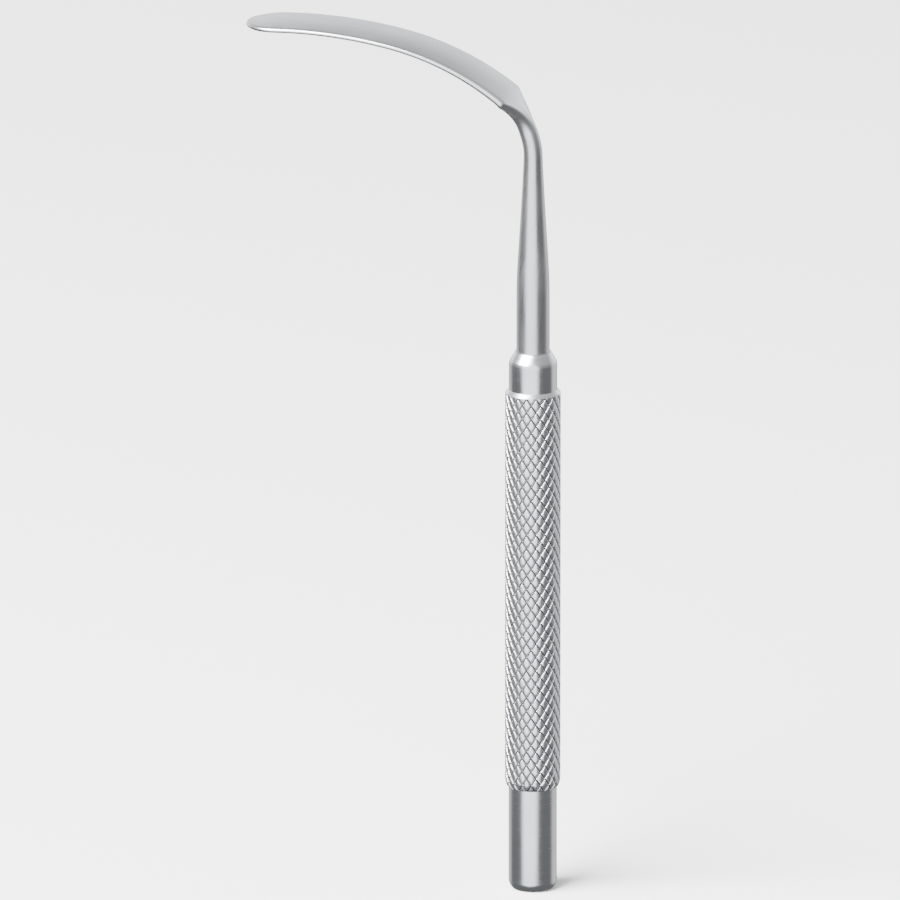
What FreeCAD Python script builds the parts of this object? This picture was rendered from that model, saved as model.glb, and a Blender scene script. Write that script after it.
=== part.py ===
import FreeCAD, Part
import math
import os

import Sketcher
from FreeCAD import Vector

os.makedirs("parts", exist_ok=True)
doc = FreeCAD.newDocument("ZygomaElevator")

# The handle stands on Z with its end face at zero. The hook bends towards -X and its blade is wide along Y.

sheet = doc.addObject("Spreadsheet::Sheet", "Sizes")
driving = [
    ("tailDiameter", 11.0, "smooth end of the handle"),
    ("tailLength", 24.0, "smooth end, from its face to the grip"),
    ("tailChamferRun", 0.9, "broken edge of the end face, measured across"),
    ("tailChamferRise", 1.3, "the same edge, measured along"),
    ("gripDiameter", 12.7, "over the crests of the knurl"),
    ("gripLength", 93.7, "knurled sleeve"),
    ("gripBore", 9.0, "inside of the sleeve"),
    ("gripTopChamferRun", 0.8, "sleeve chamfer at the ferrule, measured across"),
    ("gripTopChamferRise", 0.8, "the same chamfer, measured along"),
    ("gripFootChamferRun", 0.8, "sleeve taper at the smooth end, measured across"),
    ("gripFootChamferRise", 2.9, "the same taper, measured along"),
    ("collarDiameter", 11.0, "cylinder of the ferrule"),
    ("collarHeight", 6.4, "cylinder of the ferrule"),
    ("noseHeight", 2.5, "cone of the ferrule"),
    ("noseLip", 0.3, "wall left round the shank at the top of the cone"),
    ("ferruleSpigot", 12.0, "length of ferrule inside the sleeve"),
    ("plugSpigot", 10.0, "length of end plug inside the sleeve"),
    ("threadClearance", 0.02, "all round, where one piece screws into another"),
    ("slipClearance", 0.02, "all round, where one piece slides into another"),
    ("shankDiameter", 7.6, "straight part of the shank"),
    ("shankSeat", 3.0, "depth that the shank sinks into the ferrule"),
    ("shankStraight", 17.2, "shank above the ferrule before it tapers"),
    ("waistDiameter", 5.75, "shank where its taper slackens"),
    ("shoulderTaper", 14.0, "length of the first, quicker taper"),
    ("neckTaper", 14.15, "length of the second taper, up to the bend"),
    ("neckDiameter", 4.2, "round neck at the bend"),
    ("neckLap", 1.0, "length over which bend and taper run into each other"),
    ("neckStep", 0.02, "radius by which the taper ends under the neck's skin"),
    ("tangDiameter", 5.0, "tang inside the handle, threaded at its end"),
    ("tangChamfer", 0.6, "lead of the tang's thread"),
    ("tangOverhang", 1.2, "thread standing out of the nut"),
    ("bendRadius", 18.9, "outer side of the neck bend"),
    ("bendTurn", 54.7, "degrees that the neck bend turns"),
    ("heelRadius", 68.0, "blade face near the heel"),
    ("heelTurn", 23.8, "degrees that the heel end of the blade turns"),
    ("bladeRadius", 114.3, "blade face towards the tip"),
    ("bladeTurn", 17.7, "degrees that the tip end of the blade turns"),
    ("flatStart", 20.0, "degrees of bend where the round bar begins to flatten"),
    ("shoulderTurn", 50.5, "degrees of bend where the blade has its full width"),
    ("bladeWidth", 15.7, "across the blade"),
    ("flareBend", 2.0, "hollowness of the heel's flare, straight at 1"),
    ("heelThinning", 1.35, "how late the bar thins towards the shoulders, evenly at 1"),
    ("heelThickness", 1.8, "blade at its shoulders"),
    ("bladeThinning", 3.0, "how soon the blade thins beyond its shoulders, evenly at 1"),
    ("tipThickness", 0.95, "blade at its tip"),
    ("bladeCrown", 0.35, "height of the face's middle over its edges"),
    ("edgeRound", 0.3, "bulge of the blade's edge, as a share of its thickness"),
    ("tongueAngle", 22.0, "degrees each side of the neck's outer line where the flat face runs out"),
    ("pinDiameter", 2.0, "cross pin through ferrule and tang"),
    ("pinDepth", 6.6, "pin axis below the top of the sleeve"),
    ("pinShort", 0.15, "each pin end inside the spigot's skin"),
    ("washerThickness", 1.0, "washer under the tang nut"),
    ("washerGap", 0.25, "washer rim to sleeve"),
    ("nutHeight", 4.0, "tang nut"),
    ("nutFlats", 7.0, "tang nut across its flats"),
    ("sealDepth", 0.8, "seal ring, groove floor to sleeve"),
    ("sealWidth", 1.1, "seal ring along the handle"),
    ("sealCorner", 0.25, "corner cut off a seal ring, as a share of its width"),
    ("sealPlay", 0.1, "room at each side of a seal ring in its groove"),
    ("sealSetback", 1.6, "sleeve's end to the near side of the groove"),
]
for row, (alias, value, note) in enumerate(driving, start=1):
    sheet.set(f"A{row}", alias)
    sheet.set(f"B{row}", str(value))
    sheet.set(f"C{row}", note)
    sheet.setAlias(f"B{row}", alias)
doc.recompute()


def size(alias):
    return float(sheet.get(alias))


# Heights and radii that several pieces share, as expressions on the sheet.
gripTop = "(Sizes.tailLength + Sizes.gripLength)"
collarTop = f"({gripTop} + Sizes.collarHeight)"
noseTop = f"({collarTop} + Sizes.noseHeight)"
seatFloor = f"({noseTop} - Sizes.shankSeat)"
spigotEnd = f"({gripTop} - Sizes.ferruleSpigot)"
nutTop = f"({spigotEnd} - Sizes.washerThickness)"
nutFoot = f"({nutTop} - Sizes.nutHeight)"
tangEnd = f"({nutFoot} - Sizes.tangOverhang)"
taperStart = f"({noseTop} + Sizes.shankStraight)"
waist = f"({taperStart} + Sizes.shoulderTaper)"
bendStart = f"({waist} + Sizes.neckTaper)"
pinHeight = f"({gripTop} - Sizes.pinDepth)"
boreRadius = "(Sizes.gripBore / 2)"
spigotRadius = f"({boreRadius} - Sizes.threadClearance)"
grooveFloor = f"({boreRadius} - Sizes.sealDepth)"
grooveWidth = "(Sizes.sealWidth + 2 * Sizes.sealPlay)"
shankRadius = "(Sizes.shankDiameter / 2)"
tangRadius = "(Sizes.tangDiameter / 2)"


def newBody(name):
    body = doc.addObject("PartDesign::Body", name)
    body.Label = name
    body.Placement = FreeCAD.Placement()
    return body


def newSketch(body, name, role):
    plane = next(o for o in body.Origin.OriginFeatures if o.Role == role)
    sketch = body.newObject("Sketcher::SketchObject", name)
    sketch.AttachmentSupport = (plane, [""])
    sketch.MapMode = "FlatFace"
    return sketch


def placePoint(sketch, edge, end, across, along):
    """Holds one end of an edge at two distances from the sketch's origin, each an expression or 0."""
    for kind, expression in (("DistanceX", across), ("DistanceY", along)):
        if expression == "0":
            axis = -2 if kind == "DistanceX" else -1
            sketch.addConstraint(Sketcher.Constraint("PointOnObject", edge, end, axis))
        else:
            value = float(sketch.evalExpression(expression))
            index = sketch.addConstraint(Sketcher.Constraint(kind, -1, 1, edge, end, value))
            sketch.setExpression(f"Constraints[{index}]", expression)


def closedOutline(sketch, corners):
    """Draws straight lines round corners given as pairs of expressions."""
    points = [
        Vector(float(sketch.evalExpression(across)), float(sketch.evalExpression(along)), 0)
        for across, along in corners
    ]
    count = len(points)
    for i in range(count):
        sketch.addGeometry(Part.LineSegment(points[i], points[(i + 1) % count]), False)
    for i in range(count):
        sketch.addConstraint(Sketcher.Constraint("Coincident", i, 2, (i + 1) % count, 1))
    for i, (across, along) in enumerate(corners):
        placePoint(sketch, i, 1, across, along)


def addTurning(body, name, corners):
    """Adds a piece of revolution whose half outline has the given (radius, height) corners."""
    sketch = newSketch(body, name + "Outline", "XZ_Plane")
    closedOutline(sketch, corners)
    doc.recompute()
    turning = body.newObject("PartDesign::Revolution", name + "Turning")
    turning.Profile = sketch
    turning.ReferenceAxis = (sketch, ["V_Axis"])
    turning.Angle = 360
    sketch.Visibility = False
    body.Tip = turning
    doc.recompute()
    return turning


def drillAcross(body, name, radius, height):
    """Drills right through along Y at the given height, and checks that it took material away."""
    before = body.Shape.Volume
    sketch = newSketch(body, name + "Circle", "XZ_Plane")
    sketch.addGeometry(Part.Circle(Vector(0, 0, 0), Vector(0, 0, 1), 1), False)
    placePoint(sketch, 0, 3, "0", height)
    index = sketch.addConstraint(Sketcher.Constraint("Radius", 0, float(sketch.evalExpression(radius))))
    sketch.setExpression(f"Constraints[{index}]", radius)
    doc.recompute()
    drilling = body.newObject("PartDesign::Pocket", name)
    drilling.Profile = sketch
    drilling.Type = "ThroughAll"
    drilling.Midplane = True
    body.Tip = drilling
    doc.recompute()
    if body.Shape.Volume >= before:
        raise RuntimeError(f"{name} took nothing away")


# Grip sleeve: a plain tube over the crests of its knurl, chamfered at the ferrule and tapered at its foot.
gripSleeve = newBody("grip_sleeve")
gripRadius = "(Sizes.gripDiameter / 2)"
addTurning(
    gripSleeve,
    "Sleeve",
    [
        (boreRadius, "Sizes.tailLength"),
        (f"{gripRadius} - Sizes.gripFootChamferRun", "Sizes.tailLength"),
        (gripRadius, "Sizes.tailLength + Sizes.gripFootChamferRise"),
        (gripRadius, f"{gripTop} - Sizes.gripTopChamferRise"),
        (f"{gripRadius} - Sizes.gripTopChamferRun", gripTop),
        (boreRadius, gripTop),
    ],
)

# End plug: the smooth end of the handle, with a grooved spigot that screws into the sleeve.
endPlug = newBody("end_plug")
tailRadius = "(Sizes.tailDiameter / 2)"
rearGrooveFoot = "(Sizes.tailLength + Sizes.sealSetback)"
plugTop = "(Sizes.tailLength + Sizes.plugSpigot)"
addTurning(
    endPlug,
    "Plug",
    [
        ("0", "0"),
        (f"{tailRadius} - Sizes.tailChamferRun", "0"),
        (tailRadius, "Sizes.tailChamferRise"),
        (tailRadius, "Sizes.tailLength"),
        (spigotRadius, "Sizes.tailLength"),
        (spigotRadius, rearGrooveFoot),
        (grooveFloor, rearGrooveFoot),
        (grooveFloor, f"{rearGrooveFoot} + {grooveWidth}"),
        (spigotRadius, f"{rearGrooveFoot} + {grooveWidth}"),
        (spigotRadius, plugTop),
        ("0", plugTop),
    ],
)

# Ferrule: collar and cone outside, a grooved spigot in the sleeve, a shank seat and a bore for the tang.
ferrule = newBody("ferrule")
collarRadius = "(Sizes.collarDiameter / 2)"
seatRadius = f"({shankRadius} + Sizes.slipClearance)"
tangBoreRadius = f"({tangRadius} + Sizes.slipClearance)"
frontGrooveFoot = f"({gripTop} - Sizes.sealSetback - {grooveWidth})"
addTurning(
    ferrule,
    "Ferrule",
    [
        (tangBoreRadius, spigotEnd),
        (spigotRadius, spigotEnd),
        (spigotRadius, frontGrooveFoot),
        (grooveFloor, frontGrooveFoot),
        (grooveFloor, f"{frontGrooveFoot} + {grooveWidth}"),
        (spigotRadius, f"{frontGrooveFoot} + {grooveWidth}"),
        (spigotRadius, gripTop),
        (collarRadius, gripTop),
        (collarRadius, collarTop),
        (f"{shankRadius} + Sizes.noseLip", noseTop),
        (seatRadius, noseTop),
        (seatRadius, seatFloor),
        (tangBoreRadius, seatFloor),
    ],
)
pinHoleRadius = "Sizes.pinDiameter / 2 + Sizes.slipClearance"
drillAcross(ferrule, "FerrulePinHole", pinHoleRadius, pinHeight)

# Ferrule pin: locks the tang against turning, and is kept in by the sleeve round it.
ferrulePin = newBody("ferrule_pin")
pinSketch = newSketch(ferrulePin, "PinCircle", "XZ_Plane")
pinSketch.addGeometry(Part.Circle(Vector(0, 0, 0), Vector(0, 0, 1), 1), False)
placePoint(pinSketch, 0, 3, "0", pinHeight)
pinSketch.addConstraint(Sketcher.Constraint("Radius", 0, 1.0))
pinSketch.setExpression("Constraints[2]", "Sizes.pinDiameter / 2")
pin = ferrulePin.newObject("PartDesign::Pad", "Pin")
pin.Profile = pinSketch
pin.Midplane = True
pin.setExpression("Length", f"2 * ({spigotRadius} - Sizes.pinShort)")
ferrulePin.Tip = pin
doc.recompute()

# Seal rings: squeezed between a groove's floor and the sleeve.
for name, grooveFoot in (("front_seal", frontGrooveFoot), ("rear_seal", rearGrooveFoot)):
    ringFoot = f"{grooveFoot} + Sizes.sealPlay"
    ringTop = f"{grooveFoot} + Sizes.sealPlay + Sizes.sealWidth"
    bulge = "Sizes.sealCorner * Sizes.sealWidth"
    addTurning(
        newBody(name),
        name.title().replace("_", ""),
        [
            (f"{grooveFloor} + {bulge}", ringFoot),
            (f"{boreRadius} - {bulge}", ringFoot),
            (boreRadius, f"{ringFoot} + {bulge}"),
            (boreRadius, f"{ringTop} - {bulge}"),
            (f"{boreRadius} - {bulge}", ringTop),
            (f"{grooveFloor} + {bulge}", ringTop),
            (grooveFloor, f"{ringTop} - {bulge}"),
            (grooveFloor, f"{ringFoot} + {bulge}"),
        ],
    )

# Washer and nut: draw the tang's shoulder down onto the ferrule's seat.
threadBoreRadius = f"({tangRadius} + Sizes.threadClearance)"
tangWasher = newBody("tang_washer")
washerRadius = f"({boreRadius} - Sizes.washerGap)"
addTurning(
    tangWasher,
    "Washer",
    [
        (tangBoreRadius, nutTop),
        (washerRadius, nutTop),
        (washerRadius, spigotEnd),
        (tangBoreRadius, spigotEnd),
    ],
)

nutBlank = doc.addObject("Part::Prism", "NutBlank")
nutBlank.Polygon = 6
nutBlank.setExpression("Circumradius", "Sizes.nutFlats / 2 / cos(30 deg)")
nutBlank.setExpression("Height", "Sizes.nutHeight")
nutBlank.setExpression("Placement.Base.z", nutFoot)
nutThread = doc.addObject("Part::Cylinder", "NutThread")
nutThread.setExpression("Radius", threadBoreRadius)
nutThread.setExpression("Height", "Sizes.nutHeight + 2 * Sizes.tangOverhang")
nutThread.setExpression("Placement.Base.z", f"{nutFoot} - Sizes.tangOverhang")
tangNut = doc.addObject("Part::Cut", "TangNut")
tangNut.Base = nutBlank
tangNut.Tool = nutThread
tangNut.Label = "tang_nut"

# Shank: turned tang, shoulder, straight stretch and the two tapers up to the neck.
shank = newBody("TurnedShank")
neckRadius = "(Sizes.neckDiameter / 2)"
addTurning(
    shank,
    "Shank",
    [
        ("0", tangEnd),
        (f"{tangRadius} - Sizes.tangChamfer", tangEnd),
        (tangRadius, f"{tangEnd} + Sizes.tangChamfer"),
        (tangRadius, seatFloor),
        (shankRadius, seatFloor),
        (shankRadius, taperStart),
        ("Sizes.waistDiameter / 2", waist),
        (f"{neckRadius} - Sizes.neckStep", bendStart),
        ("0", bendStart),
    ],
)
drillAcross(shank, "TangPinHole", pinHoleRadius, pinHeight)


def facePoint(turned):
    """A point of the hook's outer face line after so many degrees of turning, and its outward normal."""
    centre = Vector(size("neckDiameter") / 2 - size("bendRadius"), 0, float(shank.evalExpression(bendStart)))
    arcs = [(size(part + "Radius"), size(part + "Turn")) for part in ("bend", "heel", "blade")]
    start = 0.0
    for i, (radius, turn) in enumerate(arcs):
        last = i == len(arcs) - 1
        if turned <= start + turn or last:
            normal = Vector(math.cos(math.radians(turned)), 0, math.sin(math.radians(turned)))
            return centre + normal * radius, normal
        start += turn
        normal = Vector(math.cos(math.radians(start)), 0, math.sin(math.radians(start)))
        centre = centre + normal * (radius - arcs[i + 1][0])


def hookSection(turned, width, thickness, flatness):
    """Four arcs across the hook: a circle where flatness is 0, a crowned strip with round edges at 1."""
    face, normal = facePoint(turned)
    crown = size("bladeCrown") * flatness
    half = width / 2
    opening = math.radians(size("tongueAngle"))
    roundCorner = thickness / 2 * (1 - math.cos(opening)) * (1 - flatness)
    corner = half * math.sin(opening) * (1 - flatness) + (half - size("edgeRound") * thickness) * flatness

    def at(across, depth):
        return face - normal * depth + Vector(0, across, 0)

    upper = crown + roundCorner
    lower = crown + thickness - roundCorner
    middle = (upper + lower) / 2
    return Part.Wire(
        [
            Part.Arc(at(-corner, upper), at(0, 0), at(corner, upper)).toShape(),
            Part.Arc(at(corner, upper), at(half, middle), at(corner, lower)).toShape(),
            Part.Arc(at(corner, lower), at(0, thickness), at(-corner, lower)).toShape(),
            Part.Arc(at(-corner, lower), at(-half, middle), at(-corner, upper)).toShape(),
        ]
    )


def forgedHook():
    """Neck, heel and blade: a round bar that flattens round the bend, then an even strip with a round tip."""
    neck = size("neckDiameter")
    shoulder = size("shoulderTurn")
    flatStart = size("flatStart")
    root = hookSection(0, neck, neck, 0)
    root.translate(Vector(0, 0, -size("neckLap")))
    barSteps = 4
    barSections = [hookSection(flatStart * i / barSteps, neck, neck, 0) for i in range(barSteps + 1)]
    bar = Part.makeLoft([root] + barSections, True)
    heelSteps = 6
    heelSections = []
    for i in range(heelSteps + 1):
        share = i / heelSteps
        turned = flatStart + (shoulder - flatStart) * share
        width = neck + (size("bladeWidth") - neck) * share ** size("flareBend")
        thickness = neck + (size("heelThickness") - neck) * share ** size("heelThinning")
        heelSections.append(hookSection(turned, width, thickness, share))
    heel = Part.makeLoft(heelSections, True)

    end = size("bendTurn") + size("heelTurn") + size("bladeTurn")
    stripSteps = 10
    stripSections = []
    swell = size("heelThickness") - size("tipThickness")
    for i in range(stripSteps + 1):
        share = i / stripSteps
        thickness = size("tipThickness") + swell * (1 - share) ** size("bladeThinning")
        turned = shoulder + (end - shoulder) * share
        stripSections.append(hookSection(turned, size("bladeWidth"), thickness, 1))
    strip = Part.makeLoft(stripSections, True)

    # Seen from above, the tip is a half circle.
    half = size("bladeWidth") / 2
    tip = facePoint(end)[0]
    tipCentre = Vector(tip.x + half, 0, tip.z - half)
    tipRound = Part.makeCylinder(half, size("bladeWidth"), tipCentre)
    reach = facePoint(0)[0].x - tipCentre.x
    drop = tipCentre.z - facePoint(0)[0].z
    corner = Vector(tipCentre.x, -half, tipCentre.z - drop)
    straight = Part.makeBox(reach, size("bladeWidth"), drop + size("bladeWidth"), corner)
    return bar.fuse([heel, strip.common(tipRound.fuse(straight))]).removeSplitter()


hook = doc.addObject("Part::Feature", "ForgedHook")
hook.Shape = forgedHook()
hook.Placement = FreeCAD.Placement()
bladeAndShank = doc.addObject("Part::MultiFuse", "BladeAndShank")
bladeAndShank.Shapes = [shank, hook]
bladeAndShank.Refine = True
bladeAndShank.Label = "blade_and_shank"
doc.recompute()

pieces = [
    bladeAndShank,
    ferrule,
    ferrulePin,
    tangWasher,
    tangNut,
    gripSleeve,
    endPlug,
    doc.getObject("front_seal"),
    doc.getObject("rear_seal"),
]
for item in doc.Objects:
    if "Invalid" in item.State or "Error" in item.State:
        raise RuntimeError(f"{item.Label} did not build: {item.State}")
for piece in pieces:
    shape = piece.Shape
    if shape.isNull() or not shape.isValid() or len(shape.Solids) != 1:
        raise RuntimeError(f"{piece.Label} is not one valid solid")
for piece in pieces:
    piece.Shape.exportStep(os.path.join("parts", piece.Label + ".step"))
    print(piece.Label, round(piece.Shape.Volume, 1))
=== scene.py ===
import math

import bmesh
import bpy
from mathutils import Matrix, Vector


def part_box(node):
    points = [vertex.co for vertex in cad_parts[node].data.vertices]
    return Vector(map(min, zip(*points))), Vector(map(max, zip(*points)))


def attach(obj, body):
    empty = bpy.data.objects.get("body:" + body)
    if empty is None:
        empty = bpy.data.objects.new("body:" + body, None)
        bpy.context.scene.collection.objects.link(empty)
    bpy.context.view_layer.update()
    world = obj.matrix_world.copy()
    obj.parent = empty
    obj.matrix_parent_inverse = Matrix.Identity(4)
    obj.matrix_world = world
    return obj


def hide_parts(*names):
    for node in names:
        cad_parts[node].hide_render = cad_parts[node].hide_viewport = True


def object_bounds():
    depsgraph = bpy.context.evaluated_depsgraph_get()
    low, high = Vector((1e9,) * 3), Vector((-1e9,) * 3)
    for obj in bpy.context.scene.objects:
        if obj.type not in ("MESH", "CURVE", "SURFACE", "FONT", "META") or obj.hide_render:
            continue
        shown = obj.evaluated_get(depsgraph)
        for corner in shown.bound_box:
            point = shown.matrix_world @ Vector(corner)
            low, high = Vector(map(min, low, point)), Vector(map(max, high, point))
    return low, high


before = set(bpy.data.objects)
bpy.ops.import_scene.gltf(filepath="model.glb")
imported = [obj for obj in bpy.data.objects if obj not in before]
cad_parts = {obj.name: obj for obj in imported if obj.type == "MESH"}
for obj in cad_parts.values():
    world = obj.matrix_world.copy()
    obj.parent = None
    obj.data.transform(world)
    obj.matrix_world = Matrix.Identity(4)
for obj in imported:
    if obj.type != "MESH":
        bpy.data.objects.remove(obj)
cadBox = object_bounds()
mm = 0.001   # sizes are given in mm, the frame is in metres

print("frame loaded:", len(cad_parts), "nodes")


def linearColour(hexCode):
    # sRGB hex to the linear values that Blender's sockets take
    channels = [int(hexCode[i:i + 2], 16) / 255 for i in (0, 2, 4)]
    return [c / 12.92 if c <= 0.04045 else ((c + 0.055) / 1.055) ** 2.4 for c in channels] + [1.0]


def addNode(tree, kind, settings=None, links=None):
    node = tree.nodes.new(kind)
    for key, value in (settings or {}).items():
        if isinstance(key, str) and hasattr(node, key):
            setattr(node, key, value)
        else:
            node.inputs[key].default_value = value
    for key, source in (links or {}).items():
        tree.links.new(source, node.inputs[key])
    return node


def newMaterial(name):
    material = bpy.data.materials.new(name)
    material.use_nodes = True
    tree = material.node_tree
    shader = tree.nodes["Principled BSDF"]
    return material, tree, shader


def handledGloss(tree, look, marks):
    # handled steel: the fine marks dull it more where there are smudges
    low, high = 0.15, 0.4   # two noises multiplied lie mostly between these
    place = addNode(tree, "ShaderNodeTexCoord").outputs["Object"]
    smudge = addNode(tree, "ShaderNodeTexNoise", {"Scale": 1 / (look["smudgeMm"] * mm), "Detail": 4.0},
                     {"Vector": place}).outputs["Fac"]
    both = addNode(tree, "ShaderNodeMath", {"operation": "MULTIPLY"}, {0: marks, 1: smudge}).outputs["Value"]
    rough = addNode(tree, "ShaderNodeMapRange",
                    {"From Min": low, "From Max": high, "To Min": look["rough"],
                     "To Max": look["rough"] + look["roughSpread"]}, {"Value": both}).outputs["Result"]
    return smudge, rough


def finishSteel(tree, shader, look, tint, rough, marks):
    bump = addNode(tree, "ShaderNodeBump",
                   {"Strength": look["bumpStrength"], "Distance": look["bumpMm"] * mm}, {"Height": marks})
    tree.links.new(tint.outputs[2], shader.inputs["Base Color"])
    tree.links.new(rough, shader.inputs["Roughness"])
    tree.links.new(bump.outputs["Normal"], shader.inputs["Normal"])
    shader.inputs["Metallic"].default_value = 1.0


turnedSteel = dict(colour="d0d2d4", shade="b8bbbe", rough=0.2, roughSpread=0.1,
                   ringMm=0.35,   # lathe rings are nearer 0.1 mm, drawn coarser so that they show
                   smudgeMm=9.0, bumpMm=0.02, bumpStrength=0.2, stretch=0.35)


def makeTurnedSteel(name, look):
    # stainless bar turned and fine polished: bright, with faint rings round the axis
    material, tree, shader = newMaterial(name)
    place = addNode(tree, "ShaderNodeTexCoord").outputs["Object"]
    split = addNode(tree, "ShaderNodeSeparateXYZ", links={"Vector": place})
    flat = addNode(tree, "ShaderNodeCombineXYZ", links={"X": split.outputs["X"], "Y": split.outputs["Y"]})
    radius = addNode(tree, "ShaderNodeVectorMath", {"operation": "LENGTH"}, {0: flat.outputs["Vector"]})
    ringPlace = addNode(tree, "ShaderNodeCombineXYZ",
                        links={"X": radius.outputs["Value"], "Z": split.outputs["Z"]})
    rings = addNode(tree, "ShaderNodeTexNoise", {"Scale": 1 / (look["ringMm"] * mm), "Detail": 3.0},
                    {"Vector": ringPlace.outputs["Vector"]}).outputs["Fac"]
    smudge, rough = handledGloss(tree, look, rings)
    tint = addNode(tree, "ShaderNodeMix",
                   {"data_type": "RGBA", 6: linearColour(look["colour"]), 7: linearColour(look["shade"])},
                   {0: smudge})
    finishSteel(tree, shader, look, tint, rough, rings)
    # the rings draw each highlight out along the handle
    shader.inputs["Anisotropic"].default_value = look["stretch"]
    tangent = addNode(tree, "ShaderNodeTangent", {"direction_type": "RADIAL", "axis": "Z"})
    tree.links.new(tangent.outputs["Tangent"], shader.inputs["Tangent"])
    return material


satinForging = dict(colour="ccced0", shade="b4b6b8", rough=0.26, roughSpread=0.14,
                    lineAcrossMm=0.3,   # belt lines are nearer 0.05 mm, drawn coarser so that they show
                    lineAlongMm=9.0, smudgeMm=12.0, bumpMm=0.02, bumpStrength=0.2)


def makeSatinForging(name, look):
    # martensitic stainless, forged and then belt-brushed along its length: soft long lines
    material, tree, shader = newMaterial(name)
    along = addNode(tree, "ShaderNodeAttribute", {"attribute_name": "along"}).outputs["Fac"]
    around = addNode(tree, "ShaderNodeAttribute", {"attribute_name": "around"}).outputs["Fac"]
    alongScaled = addNode(tree, "ShaderNodeMath", {"operation": "DIVIDE", 1: look["lineAlongMm"]}, {0: along})
    acrossScaled = addNode(tree, "ShaderNodeMath", {"operation": "DIVIDE", 1: look["lineAcrossMm"]},
                           {0: around})
    linePlace = addNode(tree, "ShaderNodeCombineXYZ",
                        links={"X": alongScaled.outputs["Value"], "Y": acrossScaled.outputs["Value"]})
    lines = addNode(tree, "ShaderNodeTexNoise", {"Scale": 1.0, "Detail": 4.0},
                    {"Vector": linePlace.outputs["Vector"]}).outputs["Fac"]
    smudge, rough = handledGloss(tree, look, lines)
    tint = addNode(tree, "ShaderNodeMix",
                   {"data_type": "RGBA", 6: linearColour(look["colour"]), 7: linearColour(look["shade"])},
                   {0: lines})
    finishSteel(tree, shader, look, tint, rough, lines)
    return material


# the painted shade and the dullness run from one share of the groove's depth to another
knurledSteel = dict(crest="d6d7da", groove="2e3032", crestRough=0.28, grooveRough=0.6, darkFrom=0.35,
                    darkTo=0.95, grainMm=0.25, bumpMm=0.03, bumpStrength=0.3)


def makeKnurledSteel(name, look):
    # stainless with a rolled knurl: crests burnished by the hand, grooves duller, with painted shade tinting
    # them near black
    material, tree, shader = newMaterial(name)
    depth = addNode(tree, "ShaderNodeAttribute", {"attribute_name": "grooveShare"}).outputs["Fac"]
    place = addNode(tree, "ShaderNodeTexCoord").outputs["Object"]
    grain = addNode(tree, "ShaderNodeTexNoise", {"Scale": 1 / (look["grainMm"] * mm), "Detail": 3.0},
                    {"Vector": place}).outputs["Fac"]
    groove = addNode(tree, "ShaderNodeMapRange", {"From Min": look["darkFrom"], "From Max": look["darkTo"]},
                     {"Value": depth}).outputs["Result"]
    rough = addNode(tree, "ShaderNodeMapRange", {"To Min": look["crestRough"], "To Max": look["grooveRough"]},
                    {"Value": groove}).outputs["Result"]
    # painted shade: the deeper into a groove, the nearer the colour goes to near black
    tint = addNode(tree, "ShaderNodeMix",
                   {"data_type": "RGBA", 6: linearColour(look["crest"]), 7: linearColour(look["groove"])},
                   {0: groove})
    finishSteel(tree, shader, look, tint, rough, grain)
    return material


plainSteel = dict(turnedSteel, colour="b2b4b6", shade="94979a", rough=0.34)
siliconeSeal = dict(colour="8c3a2c", shade="74291f", rough=0.55, mottleMm=1.5)


def makeSiliconeRubber(name, look):
    # moulded silicone rubber: dull brick red, faintly mottled
    material, tree, shader = newMaterial(name)
    place = addNode(tree, "ShaderNodeTexCoord").outputs["Object"]
    mottle = addNode(tree, "ShaderNodeTexNoise", {"Scale": 1 / (look["mottleMm"] * mm)}, {"Vector": place})
    tint = addNode(tree, "ShaderNodeMix",
                   {"data_type": "RGBA", 6: linearColour(look["colour"]), 7: linearColour(look["shade"])},
                   {0: mottle.outputs["Fac"]})
    tree.links.new(tint.outputs[2], shader.inputs["Base Color"])
    shader.inputs["Roughness"].default_value = look["rough"]
    return material


polishedBar = makeTurnedSteel("turnedStainless", turnedSteel)
machinedBar = makeTurnedSteel("machinedStainless", plainSteel)
knurledBar = makeKnurledSteel("knurledStainless", knurledSteel)
brushedForging = makeSatinForging("satinForgedStainless", satinForging)
sealRubber = makeSiliconeRubber("siliconeRubber", siliconeSeal)
print("materials made")


sleeveLow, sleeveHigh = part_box("grip_sleeve")
ferruleLow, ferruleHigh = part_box("ferrule")
plugLow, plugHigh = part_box("end_plug")
sleeveFoot = sleeveLow.z / mm
sleeveTop = sleeveHigh.z / mm
mergeMm = 0.002   # points nearer than this become one
# sizes that the pieces share inside the handle, in mm: radii, seal grooves and the shank's seat
inside = dict(bore=4.5, spigot=4.48, sealSetback=1.6, sealWidth=1.3, sealFloor=3.7, seatDepth=3.0)


def sealGroove(sleeveEnd, inward):
    # corners of a spigot's groove, from the sleeve's end inwards
    near = sleeveEnd + inward * inside["sealSetback"]
    far = near + inward * inside["sealWidth"]
    return [(inside["spigot"], near), (inside["sealFloor"], near),
            (inside["sealFloor"], far), (inside["spigot"], far)]


def turnOutline(bm, outline, steps, closed=False):
    # spins a half outline of (radius, height) corners, in mm, round the handle's axis
    corners = [bm.verts.new((radius * mm, 0, height * mm)) for radius, height in outline]
    lines = [bm.edges.new(pair) for pair in zip(corners, corners[1:])]
    if closed:
        lines.append(bm.edges.new((corners[-1], corners[0])))
    bmesh.ops.spin(bm, geom=corners + lines, cent=(0, 0, 0), axis=(0, 0, 1), dvec=(0, 0, 0),
                   angle=2 * math.pi, steps=steps, use_merge=True, use_duplicate=False)
    bmesh.ops.remove_doubles(bm, verts=bm.verts, dist=mergeMm * mm)


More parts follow.
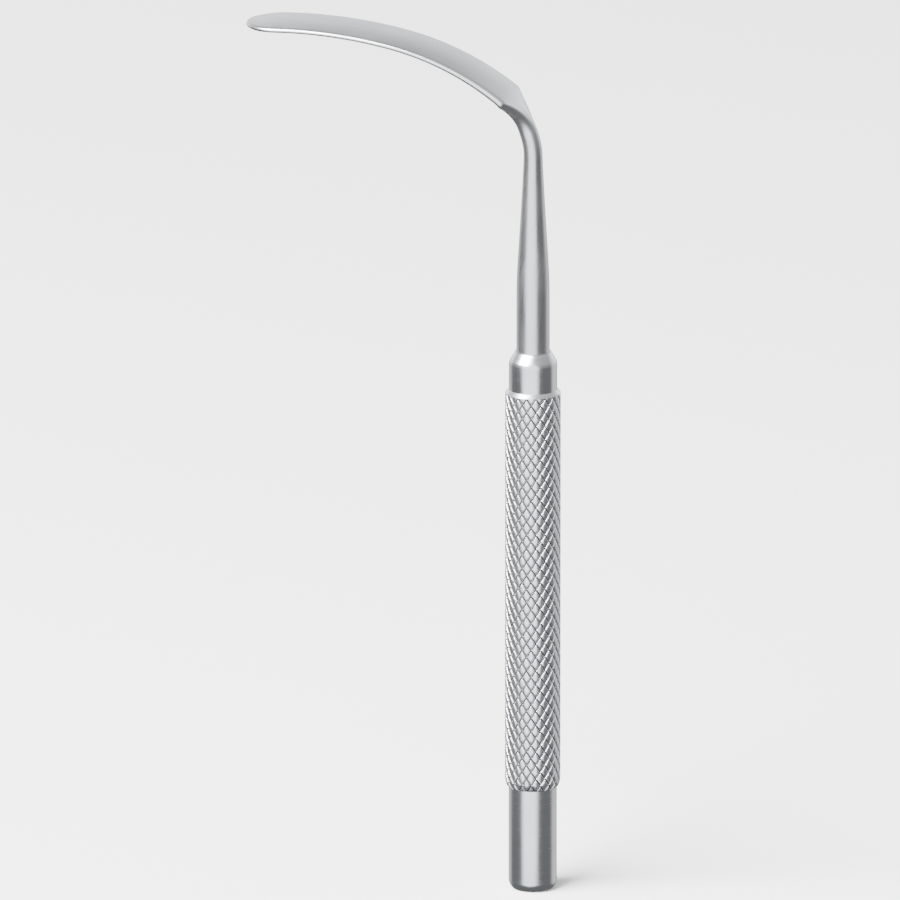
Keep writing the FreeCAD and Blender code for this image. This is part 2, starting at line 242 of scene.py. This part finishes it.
def roundRing(bm, radius, height, size, segments=4):
    # rounds the ring of edges that stands at one radius and height
    near = 0.01 * mm

    def onRing(vert):
        return (abs(math.hypot(vert.co.x, vert.co.y) - radius * mm) < near
                and abs(vert.co.z - height * mm) < near)

    ring = [edge for edge in bm.edges if all(onRing(vert) for vert in edge.verts)]
    bmesh.ops.bevel(bm, geom=ring, offset=size * mm, segments=segments, profile=0.5,
                    affect="EDGES", material=-1)


def finishPiece(bm, name, material, node, sharpAngle=38):
    bmesh.ops.remove_doubles(bm, verts=bm.verts, dist=mergeMm * mm)
    bmesh.ops.recalc_face_normals(bm, faces=bm.faces)
    mesh = bpy.data.meshes.new(name)
    bm.to_mesh(mesh)
    bm.free()
    mesh.shade_smooth()
    mesh.set_sharp_from_angle(angle=math.radians(sharpAngle))
    mesh.materials.append(material)
    piece = bpy.data.objects.new(name, mesh)
    bpy.context.scene.collection.objects.link(piece)
    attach(piece, "root")
    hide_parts(node)
    print(name, "made:", len(mesh.polygons), "faces")
    return piece


smoothEnd = dict(radius=plugHigh.x / mm, faceEdge=0.9, faceRise=1.3, sideRound=0.6, faceRound=0.35, steps=128)


def makeSmoothEnd(shape):
    foot = plugLow.z / mm
    top = plugHigh.z / mm
    bm = bmesh.new()
    turnOutline(bm, [
        (0, foot),
        (shape["radius"] - shape["faceEdge"], foot),
        (shape["radius"], foot + shape["faceRise"]),
        (shape["radius"], sleeveFoot),
        (inside["spigot"], sleeveFoot),
        *sealGroove(sleeveFoot, 1),
        (inside["spigot"], top),
        (0, top),
    ], shape["steps"])
    roundRing(bm, shape["radius"], foot + shape["faceRise"], shape["sideRound"])
    roundRing(bm, shape["radius"] - shape["faceEdge"], foot, shape["faceRound"])
    return finishPiece(bm, "smoothEnd", polishedBar, "end_plug")


makeSmoothEnd(smoothEnd)


collar = dict(radius=ferruleHigh.x / mm, height=6.4, noseRadius=4.1, seatRadius=3.82, boreRadius=2.52,
              shoulderRound=0.6, noseRound=0.1, steps=128)


def makeCollar(shape):
    foot = ferruleLow.z / mm
    top = ferruleHigh.z / mm
    shoulder = sleeveTop + shape["height"]
    bm = bmesh.new()
    turnOutline(bm, [
        (shape["boreRadius"], foot),
        (inside["spigot"], foot),
        *reversed(sealGroove(sleeveTop, -1)),
        (inside["spigot"], sleeveTop),
        (shape["radius"], sleeveTop),
        (shape["radius"], shoulder),
        (shape["noseRadius"], top),
        (shape["seatRadius"], top),
        (shape["seatRadius"], top - inside["seatDepth"]),
        (shape["boreRadius"], top - inside["seatDepth"]),
    ], shape["steps"], closed=True)
    roundRing(bm, shape["radius"], shoulder, shape["shoulderRound"], segments=6)
    roundRing(bm, shape["noseRadius"], top, shape["noseRound"], segments=2)
    return finishPiece(bm, "collar", polishedBar, "ferrule")


turnedCollar = makeCollar(collar)


# padSteps: inset in mm and share of the depth climbed, for the groove, its wall and the soft shoulder
# topStop: how far below the chamfer the grooves begin to run out
# footCuts: shares of the foot's rise where the mesh is cut, so that its rounding keeps its shape
knurl = dict(radius=sleeveHigh.x / mm, around=18, rowPitch=3.2, depth=0.42,
             padSteps=((0.16, 0.68), (0.12, 0.2), (0.3, 0.1)), middleRise=0.02, padMerge=0.02,
             topRun=0.8, topRise=0.8, topStop=0.06,
             footRun=0.8, footRise=2.9, footCuts=(0.08, 0.25, 0.5, 0.75))


def makePad(bm, shape):
    # one pad of the knurl, flat, in mm
    width = 2 * math.pi * shape["radius"] / shape["around"]
    made = bmesh.ops.create_circle(bm, cap_ends=True, segments=4, radius=1)
    bmesh.ops.scale(bm, verts=made["verts"], vec=(width / 2, shape["rowPitch"] / 2, 1))
    bmesh.ops.translate(bm, verts=made["verts"], vec=(0, 0, -shape["depth"]))
    pad = list(bm.faces)
    for inset, climb in shape["padSteps"]:
        bmesh.ops.inset_individual(bm, faces=pad, thickness=inset, depth=climb * shape["depth"],
                                   use_even_offset=True)
    bmesh.ops.poke(bm, faces=pad, offset=shape["middleRise"] * shape["depth"])


def wrapAndRepeat(bm, shape, length):
    # wraps the pad round the handle, then fills the ring and the rows, every other row half a pad on
    for vert in bm.verts:
        angle = vert.co.x / shape["radius"]
        radius = shape["radius"] + vert.co.z
        vert.co = Vector((radius * math.cos(angle), radius * math.sin(angle), vert.co.y))
    bmesh.ops.spin(bm, geom=bm.verts[:] + bm.edges[:] + bm.faces[:], cent=(0, 0, 0), axis=(0, 0, 1),
                   dvec=(0, 0, 0), angle=2 * math.pi * (1 - 1 / shape["around"]), steps=shape["around"] - 1,
                   use_merge=False, use_duplicate=True)
    ringGeom = bm.verts[:] + bm.edges[:] + bm.faces[:]
    rowStep = shape["rowPitch"] / 2
    for row in range(1, math.ceil(length / rowStep) + 2):
        copied = bmesh.ops.duplicate(bm, geom=ringGeom)["geom"]
        verts = [item for item in copied if isinstance(item, bmesh.types.BMVert)]
        bmesh.ops.rotate(bm, verts=verts, cent=(0, 0, 0),
                         matrix=Matrix.Rotation(math.pi / shape["around"] * (row % 2), 3, "Z"))
        bmesh.ops.translate(bm, verts=verts, vec=(0, 0, rowStep * row))
    bmesh.ops.remove_doubles(bm, verts=bm.verts, dist=shape["padMerge"])


def cutAcross(bm, height, waste=0):
    # cuts the tube level at a height, and with waste 1 or -1 throws away what is above or below
    onPlane = 0.001
    bmesh.ops.bisect_plane(bm, geom=bm.verts[:] + bm.edges[:] + bm.faces[:], dist=onPlane,
                           plane_co=(0, 0, height), plane_no=(0, 0, waste or 1), clear_outer=waste != 0)


def shapeEnds(bm, shape, length):
    # rounded foot that the knurl runs over, plain chamfer where it stops at the top
    share = bm.verts.layers.float.new("grooveShare")
    slack = 0.01   # so that the ring at the chamfer's foot counts as part of it
    for vert in bm.verts:
        radius = math.hypot(vert.co.x, vert.co.y)
        vert[share] = (shape["radius"] - radius) / shape["depth"]
        low = max(0.0, 1 - vert.co.z / shape["footRise"])
        drop = shape["footRun"] * (1 - math.sqrt(1 - low ** 2))
        fromTop = length - vert.co.z
        chamfer = shape["radius"] - shape["topRun"] * max(0.0, 1 - fromTop / shape["topRise"])
        newRadius = min(radius - drop, chamfer)
        if fromTop < shape["topRise"] + slack:
            newRadius = chamfer
            vert[share] = 0
        vert.co.x *= newRadius / radius
        vert.co.y *= newRadius / radius


def closeBore(bm, length):
    # end faces in to the bore, and the bore's wall between them
    ends = [edge for edge in bm.edges if edge.is_boundary]
    footRing = [edge for edge in ends if edge.verts[0].co.z < length / 2]
    topRing = [edge for edge in ends if edge.verts[0].co.z > length / 2]
    innerRings = []
    for ring in (footRing, topRing):
        made = bmesh.ops.extrude_edge_only(bm, edges=ring)["geom"]
        for vert in (item for item in made if isinstance(item, bmesh.types.BMVert)):
            radius = math.hypot(vert.co.x, vert.co.y)
            vert.co.x *= inside["bore"] / radius
            vert.co.y *= inside["bore"] / radius
        innerRings += [item for item in made if isinstance(item, bmesh.types.BMEdge) and item.is_boundary]
    bmesh.ops.bridge_loops(bm, edges=innerRings)


def makeSleeve(shape):
    length = sleeveTop - sleeveFoot
    bm = bmesh.new()
    makePad(bm, shape)
    wrapAndRepeat(bm, shape, length)
    cutAcross(bm, 0, waste=-1)
    cutAcross(bm, length, waste=1)
    chamferFoot = length - shape["topRise"]
    cuts = [shape["footRise"] * part for part in shape["footCuts"]]
    cuts += [chamferFoot - shape["topStop"], chamferFoot, length - shape["topRise"] / 2]
    for height in cuts:
        cutAcross(bm, height)
    shapeEnds(bm, shape, length)
    closeBore(bm, length)
    bmesh.ops.translate(bm, verts=bm.verts, vec=(0, 0, sleeveFoot))
    bmesh.ops.scale(bm, verts=bm.verts, vec=(mm, mm, mm))
    return finishPiece(bm, "knurledSleeve", knurledBar, "grip_sleeve", sharpAngle=30)


makeSleeve(knurl)


# lengths in mm, turns and angles in degrees; the steps in the last lines only say how fine the mesh is
# heelThinning and bladeThinning: powers that shape how the thickness falls, 1 being straight
# tongueAngle: half of the round bar's arc that becomes a face of the blade
hook = dict(
    tangRadius=2.5, tangFoot=0.6, shankRadius=3.8, straight=17.2,
    taperOne=14.0, waistRadius=2.875, taperTwo=14.15, neckRadius=2.1, softening=3.0,
    bendRadius=18.9, bendTurn=54.7, heelRadius=68.0, heelTurn=23.8, bladeRadius=114.3, bladeTurn=17.7,
    flatStart=20.0, shoulderTurn=50.5, bladeWidth=15.7, heelThinning=1.35, heelThickness=1.8,
    bladeThinning=3.0, tipThickness=0.95, crown=0.35, edgeRound=0.3, tongueAngle=22.0, shoulderRound=0.3,
    ringEvery=1.0, bendStep=1.25, bladeSteps=40, tipSteps=18, tipSweep=74.0, noseSteps=9,
    faceSteps=14, rimSteps=12,
)


def softRamp(distance, softness):
    # zero before the corner and a straight climb after it, with the corner rounded off
    return (distance + math.sqrt(distance ** 2 + softness ** 2)) / 2


def facePlace(shape, turned):
    # a place on the hook's outer face line after so many degrees of turning, and its outward direction
    centre = Vector((shape["neckRadius"] - shape["bendRadius"], 0, 0))
    start = 0.0
    for part, following in (("bend", "heel"), ("heel", "blade"), ("blade", None)):
        if following is None or turned <= start + shape[part + "Turn"]:
            outward = Vector((math.cos(math.radians(turned)), 0, math.sin(math.radians(turned))))
            return centre + outward * shape[part + "Radius"], outward
        start += shape[part + "Turn"]
        outward = Vector((math.cos(math.radians(start)), 0, math.sin(math.radians(start))))
        centre = centre + outward * (shape[part + "Radius"] - shape[following + "Radius"])


def arcPlace(first, middle, last, share):
    # a place on the arc from first over middle to last
    chord = (last - first) / 2
    centreLine = (first + last) / 2
    rise = middle - centreLine
    half = chord.length
    height = max(rise.length, 1e-5)   # a straight side is an arc that hardly rises
    radius = (half ** 2 + height ** 2) / (2 * height)
    opening = 2 * math.atan(height / half)
    angle = (2 * share - 1) * opening
    return (centreLine + chord.normalized() * radius * math.sin(angle)
            + rise.normalized() * (radius * math.cos(angle) - radius + height))


def sectionPlaces(shape, width, thickness, flatness):
    # across and depth of each spoke: a circle at flatness 0, a crowned strip with round edges at 1
    half = width / 2
    opening = math.radians(shape["tongueAngle"])
    crown = shape["crown"] * flatness
    roundCorner = thickness / 2 * (1 - math.cos(opening)) * (1 - flatness)
    edge = shape["edgeRound"] * thickness
    corner = half * math.sin(opening) * (1 - flatness) + (half - edge) * flatness
    upper = crown + roundCorner
    lower = crown + thickness - roundCorner
    top, bottom = Vector((0, 0)), Vector((0, thickness))
    topLeft, topRight = Vector((-corner, upper)), Vector((corner, upper))
    lowLeft, lowRight = Vector((-corner, lower)), Vector((corner, lower))
    left, right = Vector((-half, (upper + lower) / 2)), Vector((half, (upper + lower) / 2))
    sides = ((topLeft, top, topRight, shape["faceSteps"]), (topRight, right, lowRight, shape["rimSteps"]),
             (lowRight, bottom, lowLeft, shape["faceSteps"]), (lowLeft, left, topLeft, shape["rimSteps"]))
    return [arcPlace(a, b, c, i / count) for a, b, c, count in sides for i in range(count)]


def tipPlaces(shape, reach):
    # the strip's section where the round tip cuts it: the same rim, measured out from the tip's centre
    whole = shape["bladeWidth"] / 2
    thickness = shape["tipThickness"]
    bulge = shape["edgeRound"] * thickness
    opening = 2 * math.atan(2 * shape["edgeRound"])
    half = math.sqrt(whole ** 2 - reach ** 2)
    places = []
    for across, depth in sectionPlaces(shape, shape["bladeWidth"], thickness, 1):
        under = depth > thickness / 2 + shape["crown"] * (across / whole) ** 2
        across *= half / whole
        intoRim = (math.hypot(reach, across) - whole + bulge) / bulge
        cosine = math.cos(opening) + min(max(intoRim, 0), 1) * (1 - math.cos(opening))
        rise = thickness / 2 * math.sin(math.acos(min(cosine, 1))) / math.sin(opening)
        middle = thickness / 2 + shape["crown"] * (across / whole) ** 2
        places.append(Vector((across, middle + (rise if under else -rise))))
    return places


def hookStations(shape):
    # heights up the straight part, in mm
    shankTop = ferruleHigh.z / mm
    taperStart = shankTop + shape["straight"]
    waist = taperStart + shape["taperOne"]
    return dict(foot=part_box("blade_and_shank")[0].z / mm, seat=shankTop - inside["seatDepth"],
                taperStart=taperStart, waist=waist, bendStart=waist + shape["taperTwo"])


def barRadius(shape, at, along):
    # straight shank, then two tapers and the neck, with the corners between them rounded off
    slopeOne = (shape["waistRadius"] - shape["shankRadius"]) / shape["taperOne"]
    slopeTwo = (shape["neckRadius"] - shape["waistRadius"]) / shape["taperTwo"]
    corners = ((at["taperStart"], slopeOne), (at["waist"], slopeTwo - slopeOne), (at["bendStart"], -slopeTwo))
    return shape["shankRadius"] + sum(
        slope * softRamp(along - corner, shape["softening"]) for corner, slope in corners)


def turnedRings(shape, at):
    # tang, shoulder, straight shank and taper
    tang = shape["tangRadius"]
    outline = [(tang - shape["tangFoot"], at["foot"]), (tang, at["foot"] + shape["tangFoot"]),
               (tang, at["seat"]), (shape["shankRadius"], at["seat"])]
    height = at["taperStart"] - 3 * shape["softening"]   # the rounding of the taper's corner begins here
    while height < at["bendStart"]:
        outline.append((barRadius(shape, at, height), height))
        height += shape["ringEvery"]
    for radius, height in outline:
        origin = Vector((shape["neckRadius"], 0, height))
        places = sectionPlaces(shape, 2 * radius, 2 * radius, 0)
        yield origin, Vector((1, 0, 0)), places, shape["neckRadius"] - radius, height


def hookTurns(shape, tipStart, tipTurn):
    # how far the hook has turned at each ring: even steps round the bend and up the blade, closer at its end
    step = shape["bendStep"]
    pastShoulders = 3
    turns = [i * step for i in range(int(shape["shoulderTurn"] / step) + pastShoulders)]
    bladeStart = turns[-1]
    turns += [bladeStart + (tipStart - bladeStart) * i / shape["bladeSteps"]
              for i in range(1, shape["bladeSteps"] + 1)]
    # the rim's bulge goes round the tip too, as a short nose
    noseStart = 1 - 2 * shape["edgeRound"] * shape["tipThickness"] / shape["bladeWidth"]
    sweep = math.radians(shape["tipSweep"])
    reaches = [noseStart * math.sin(sweep * i / shape["tipSteps"]) / math.sin(sweep)
               for i in range(1, shape["tipSteps"] + 1)]
    reaches += [noseStart + (1 - noseStart) * math.sin(math.pi / 2 * i / shape["noseSteps"])
                for i in range(1, shape["noseSteps"])]
    return turns + [tipStart + tipTurn * reach for reach in reaches]


def bentRings(shape, at):
    # neck, heel and blade
    end = shape["bendTurn"] + shape["heelTurn"] + shape["bladeTurn"]
    tipHalf = shape["bladeWidth"] / 2
    tipTurn = math.degrees(tipHalf / shape["bladeRadius"])
    tipStart = end - tipTurn
    swell = shape["heelThickness"] - shape["tipThickness"]
    neck = 2 * shape["neckRadius"]
    along = at["bendStart"]
    last = None
    for turned in hookTurns(shape, tipStart, tipTurn):
        face, outward = facePlace(shape, turned)
        origin = face + Vector((0, 0, at["bendStart"]))
        along += (origin - last).length if last else 0
        last = origin
        bar = 2 * barRadius(shape, at, along)
        share = (turned - shape["flatStart"]) / (shape["shoulderTurn"] - shape["flatStart"])
        flatness = min(max(share, 0), 1)
        # the flare grows with the square of the share and turns into the blade's sides at the shoulders
        flare = neck + (shape["bladeWidth"] - neck) * max(share, 0) ** 2
        gap = flare - shape["bladeWidth"]
        width = bar if share <= 0 else flare - softRamp(gap, shape["shoulderRound"])
        thickness = bar + (shape["heelThickness"] - bar) * flatness ** shape["heelThinning"]
        toTip = (turned - shape["shoulderTurn"]) / (end - shape["shoulderTurn"])
        if toTip > 0:
            thickness = shape["tipThickness"] + swell * (1 - toTip) ** shape["bladeThinning"]
        if turned > tipStart:
            places = tipPlaces(shape, tipHalf * (turned - tipStart) / tipTurn)
        else:
            places = sectionPlaces(shape, width, thickness, flatness)
        yield origin, outward, places, (neck - bar) / 2 * (1 - flatness), along


def placeRing(face, layers, origin, outward, places, inset, along):
    spoke, alongLayer, aroundLayer = layers
    girths = [0.0]
    for point, following in zip(places, places[1:]):
        girths.append(girths[-1] + (following - point).length)
    for vert in face.verts:
        across, depth = places[vert[spoke]]
        vert.co = origin - outward * (depth + inset) + Vector((0, across, 0))
        vert[alongLayer] = along
        vert[aroundLayer] = girths[vert[spoke]]


def extrudeRing(bm, face):
    # the first cap stays as the tang's end, later ones would be walls inside the bar
    first = len(bm.faces) == 1
    made = bmesh.ops.extrude_face_region(bm, geom=[face])["geom"]
    if not first:
        bmesh.ops.delete(bm, geom=[face], context="FACES_ONLY")
    return next(item for item in made if isinstance(item, bmesh.types.BMFace))


def makeHook(shape):
    at = hookStations(shape)
    rings = [*turnedRings(shape, at), *bentRings(shape, at)]
    bm = bmesh.new()
    spoke = bm.verts.layers.int.new("spoke")
    layers = (spoke, bm.verts.layers.float.new("along"), bm.verts.layers.float.new("around"))
    spokes = 2 * (shape["faceSteps"] + shape["rimSteps"])
    bmesh.ops.create_circle(bm, cap_ends=True, segments=spokes, radius=1)
    cap = bm.faces[:][0]
    for i, vert in enumerate(cap.verts):
        vert[spoke] = i
    placeRing(cap, layers, *rings[0])
    for ring in rings[1:]:
        cap = extrudeRing(bm, cap)
        placeRing(cap, layers, *ring)
    bmesh.ops.scale(bm, verts=bm.verts, vec=(mm, mm, mm))
    return finishPiece(bm, "bladeAndShank", brushedForging, "blade_and_shank")


forging = makeHook(hook)


pinHole = dict(radius=1.02, segments=32)


def drillPinHole(piece, shape):
    # the cross pin's hole, drilled right through along Y where the CAD pin lies
    low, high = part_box("ferrule_pin")
    bm = bmesh.new()
    bmesh.ops.create_cone(bm, cap_ends=True, segments=shape["segments"], radius1=shape["radius"] * mm,
                          radius2=shape["radius"] * mm, depth=2 * (high.y - low.y))
    bmesh.ops.rotate(bm, verts=bm.verts, cent=(0, 0, 0), matrix=Matrix.Rotation(math.pi / 2, 3, "X"))
    bmesh.ops.translate(bm, verts=bm.verts, vec=(0, 0, (low.z + high.z) / 2))
    drillMesh = bpy.data.meshes.new("pinDrill")
    bm.to_mesh(drillMesh)
    bm.free()
    drill = bpy.data.objects.new("pinDrill", drillMesh)
    bpy.context.scene.collection.objects.link(drill)
    cut = piece.modifiers.new("pinHole", "BOOLEAN")
    cut.object = drill
    cut.solver = "EXACT"
    drilled = bpy.data.meshes.new_from_object(piece.evaluated_get(bpy.context.evaluated_depsgraph_get()))
    piece.modifiers.clear()
    piece.data = drilled
    drilled.name = piece.name
    bpy.data.objects.remove(drill)


for piece in (turnedCollar, forging):
    drillPinHole(piece, pinHole)
print("pin hole drilled")

# hidden pieces keep their CAD shape
for node, material in (("ferrule_pin", machinedBar), ("tang_washer", machinedBar), ("tang_nut", machinedBar),
                       ("front_seal", sealRubber), ("rear_seal", sealRubber)):
    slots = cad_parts[node].data.materials
    slots.clear()
    slots.append(material)
print("pieces done")


floorPaper = dict(size=8.0, drop=0.0001, colour="f2f2f0", rough=0.9, gloss=0.1)


def makeFloor(setup):
    # matt paper: pale and even, with next to no shine
    bm = bmesh.new()
    bmesh.ops.create_grid(bm, x_segments=1, y_segments=1, size=setup["size"] / 2)
    mesh = bpy.data.meshes.new("floor")
    bm.to_mesh(mesh)
    bm.free()
    floor = bpy.data.objects.new("floor", mesh)
    bpy.context.scene.collection.objects.link(floor)
    floor.location.z = -setup["drop"]
    material, tree, shader = newMaterial("palePaper")
    shader.inputs["Base Color"].default_value = linearColour(setup["colour"])
    shader.inputs["Roughness"].default_value = setup["rough"]
    shader.inputs["Specular IOR Level"].default_value = setup["gloss"]
    mesh.materials.append(material)
    floor.visible_glossy = False   # the steel shows the panels below the horizon too, not the paper


makeFloor(floorPaper)


# degrees for the angles, mm for the lens, metres for the width seen and for the aim's shift from the middle
view = dict(azimuth=13.8, elevation=15.5, lens=1200.0, sensor=36.0, frameSize=0.20454, aside=0.0105,
            rise=0.0008, clipEnd=100.0)
# panels and back wall: side of the view, half width in full light, half width to none (degrees), strength
# heights are sines of the elevation: below turns to above across horizon, and the wall fades at foot and top
skylight = dict(colour="fbfcff", below=0.24, above=0.76, horizon=(-0.1, 0.6),
                panels=((-14, 28, 44, 3.3), (128, 14, 32, 1.1), (-148, 14, 32, 0.9)),
                backWall=(180, 30, 65, 1.9), wallFoot=(-0.1, 0.1), wallTop=(0.24, 0.46))


def panelGlow(tree, direction, side, inner, outer, strength):
    angle = math.radians(view["azimuth"] + side)
    level = math.cos(math.radians(view["elevation"]))
    facing = addNode(tree, "ShaderNodeVectorMath",
                     {"operation": "DOT_PRODUCT", 1: (math.sin(angle), -math.cos(angle), 0)}, {0: direction})
    return addNode(tree, "ShaderNodeMapRange",
                   {"From Min": level * math.cos(math.radians(outer)),
                    "From Max": level * math.cos(math.radians(inner)), "To Max": strength},
                   {"Value": facing.outputs["Value"]}).outputs["Result"]


def makeWorld(setup):
    # the studio as the steel sees it: a broad panel in front and a little to the left, slim ones
    # behind both sides, a bright back wall low down and a dimmer ceiling
    world = bpy.data.worlds.new("studio")
    bpy.context.scene.world = world
    world.use_nodes = True
    tree = world.node_tree
    background = tree.nodes["Background"]
    background.inputs["Color"].default_value = linearColour(setup["colour"])
    direction = addNode(tree, "ShaderNodeTexCoord").outputs["Generated"]
    height = addNode(tree, "ShaderNodeSeparateXYZ", links={"Vector": direction}).outputs["Z"]
    # each is the height it starts at, the height it ends at, and its values there
    fades = [(*setup["horizon"], setup["below"], setup["above"]), (*setup["wallFoot"], 0, 1),
             (*setup["wallTop"], 1, 0)]
    total, wallFoot, wallTop = [
        addNode(tree, "ShaderNodeMapRange",
                {"From Min": start, "From Max": end, "To Min": low, "To Max": high},
                {"Value": height}).outputs["Result"]
        for start, end, low, high in fades]
    glow = panelGlow(tree, direction, *setup["backWall"])
    for fade in (wallTop, wallFoot):
        glow = addNode(tree, "ShaderNodeMath", {"operation": "MULTIPLY"}, {0: glow, 1: fade}).outputs["Value"]
    for part in [panelGlow(tree, direction, *panel) for panel in setup["panels"]] + [glow]:
        total = addNode(tree, "ShaderNodeMath", {"operation": "ADD"}, {0: total, 1: part}).outputs["Value"]
    tree.links.new(total, background.inputs["Strength"])


makeWorld(skylight)


keyLight = dict(place=(-0.9, -1.1, 1.6), target=(0, 0, 0.1), side=1.6, power=350)


def addSoftbox(name, setup):
    light = bpy.data.lights.new(name, "AREA")
    light.shape = "SQUARE"
    light.size = setup["side"]
    light.energy = setup["power"]
    lamp = bpy.data.objects.new(name, light)
    bpy.context.scene.collection.objects.link(lamp)
    lamp.location = setup["place"]
    towards = Vector(setup["target"]) - Vector(setup["place"])
    lamp.rotation_euler = towards.to_track_quat("-Z", "Y").to_euler()
    lamp.visible_camera = False


addSoftbox("key", keyLight)


def makeCamera(setup):
    azimuth = math.radians(setup["azimuth"])
    elevation = math.radians(setup["elevation"])
    back = Vector((math.sin(azimuth) * math.cos(elevation), -math.cos(azimuth) * math.cos(elevation),
                   math.sin(elevation)))
    right = Vector((math.cos(azimuth), math.sin(azimuth), 0))
    up = back.cross(right)
    centre = (Vector(cadBox[0]) + Vector(cadBox[1])) / 2
    aim = centre + right * setup["aside"] + up * setup["rise"]
    data = bpy.data.cameras.new("camera")
    data.lens = setup["lens"]
    data.sensor_width = setup["sensor"]
    data.clip_end = setup["clipEnd"]
    camera = bpy.data.objects.new("camera", data)
    bpy.context.scene.collection.objects.link(camera)
    # from far off with a long lens, so that next to nothing converges
    camera.location = aim + back * setup["frameSize"] * setup["lens"] / setup["sensor"]
    camera.rotation_euler = (-back).to_track_quat("-Z", "Y").to_euler()
    bpy.context.scene.camera = camera


makeCamera(view)
print("stage done")
